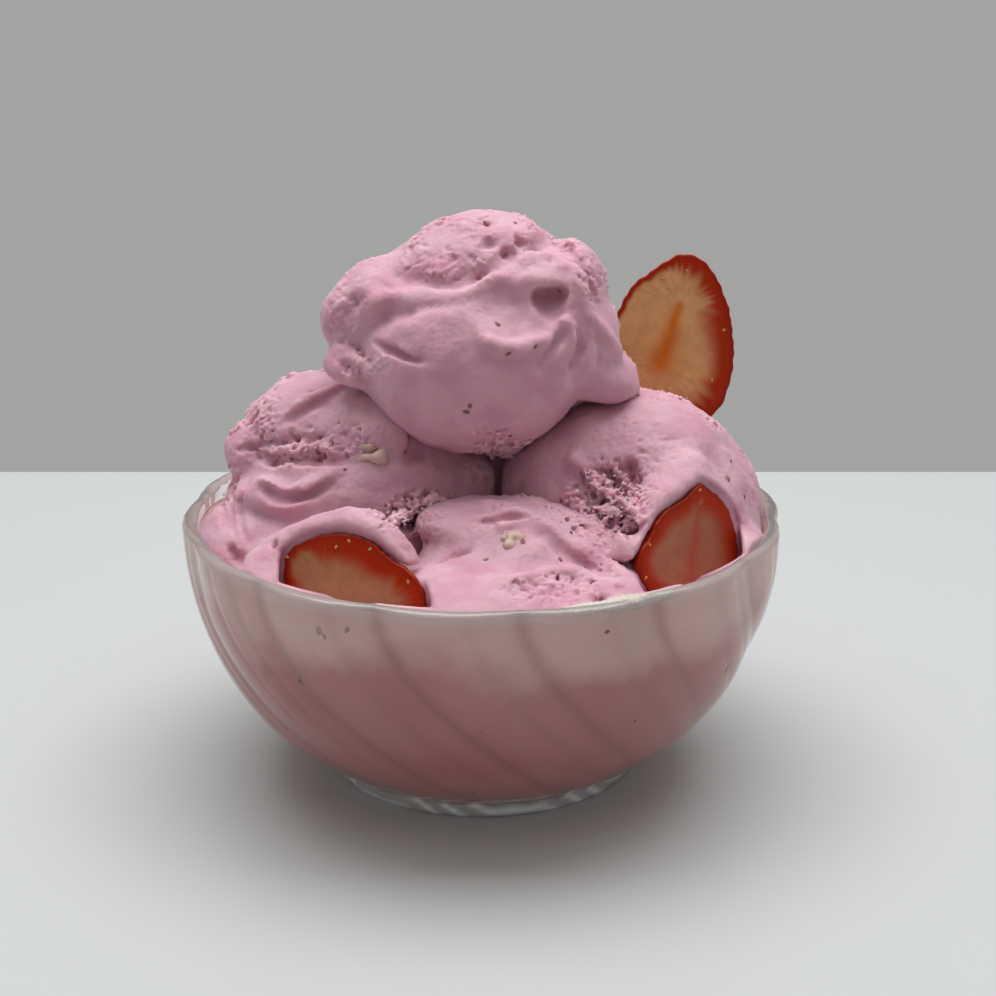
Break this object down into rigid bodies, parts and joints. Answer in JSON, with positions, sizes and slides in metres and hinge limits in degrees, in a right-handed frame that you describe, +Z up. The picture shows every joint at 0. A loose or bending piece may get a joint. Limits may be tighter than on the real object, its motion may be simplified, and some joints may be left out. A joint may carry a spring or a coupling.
{
  "type": "strawberry sundae",
  "caption": "Heaped scoops of pink ice cream with strawberry slices, in a round fluted glass bowl filled with melted ice cream.",
  "frame": {"origin": "centre of the bowl's foot ring, on the table", "axes": "+Z up along the bowl's axis; -Y towards the side that the picture shows; +X to the right in the picture"},
  "size_m": [0.1194, 0.1198, 0.1137],
  "materials": {
    "glass": "clear pressed glass with soft twisted flutes",
    "ice_cream": "frozen strawberry ice cream, torn and granular on top, wet and smooth below",
    "melt": "soft melted strawberry ice cream, wet",
    "strawberry": "wet cut strawberry"
  },
  "bodies": {
    "root": {"glass_bowl": "glass", "melted_ice_cream": "melt", "scoop_top": "ice_cream", "scoop_right": "ice_cream", "scoop_left": "ice_cream", "scoop_back": "ice_cream", "scoop_front": "ice_cream", "strawberry_slice_back": "strawberry", "strawberry_slice_left": "strawberry", "strawberry_slice_right": "strawberry"}
  },
  "joints": []
}
